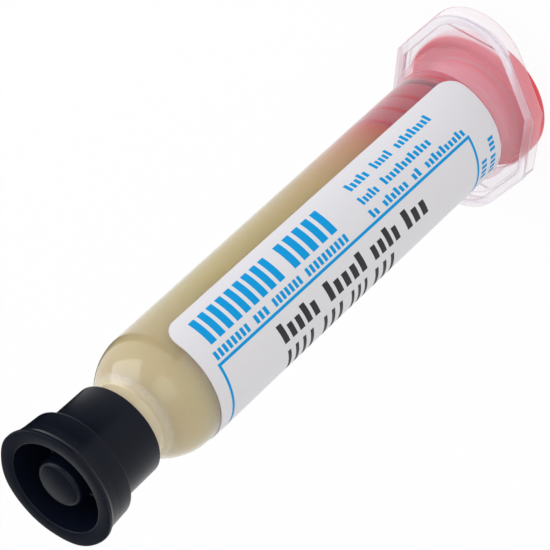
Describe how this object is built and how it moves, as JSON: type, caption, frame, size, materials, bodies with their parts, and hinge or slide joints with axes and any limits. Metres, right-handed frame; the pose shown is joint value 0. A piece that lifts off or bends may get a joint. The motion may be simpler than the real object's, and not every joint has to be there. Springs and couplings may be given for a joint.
{
  "type": "flux syringe",
  "caption": "Prefilled dispensing syringe of soldering flux paste: flanged barrel, label, sliding piston, rear end cap and flared tip cap.",
  "frame": {"origin": "centre of the end cap's rear face, on the barrel's axis, where the syringe stands", "axes": "+Z along the barrel's axis towards the tip cap, X along the finger flange's long axis, Y along its short axis"},
  "size_m": [0.0362, 0.0242, 0.0989],
  "materials": {
    "clear_barrel": "clear natural polypropylene, polished mould",
    "flux_paste": "smooth amber paste",
    "red_piston": "soft red polyethylene",
    "red_end_cap": "soft red polyethylene",
    "black_cap": "satin black polyethylene",
    "label_paper": "coated white paper with blue and dark print"
  },
  "bodies": {
    "barrel": {"barrel": "clear_barrel", "flux_paste": "flux_paste", "label": "label_paper"},
    "piston": {"piston": "red_piston"},
    "end_cap": {"end_cap": "red_end_cap"},
    "tip_cap": {"tip_cap": "black_cap"}
  },
  "joints": [
    {"name": "piston_slide", "type": "slide", "parent": "barrel", "child": "piston", "axis": [0, 0, 1], "range_m": [0, 0.0532], "deforming": ["flux_paste"]},
    {"name": "end_cap_pull", "type": "slide", "parent": "barrel", "child": "end_cap", "axis": [0, 0, -1], "range_m": [0, 0.012]},
    {"name": "tip_cap_pull", "type": "slide", "parent": "barrel", "child": "tip_cap", "axis": [0, 0, 1], "range_m": [0, 0.015]}
  ]
}
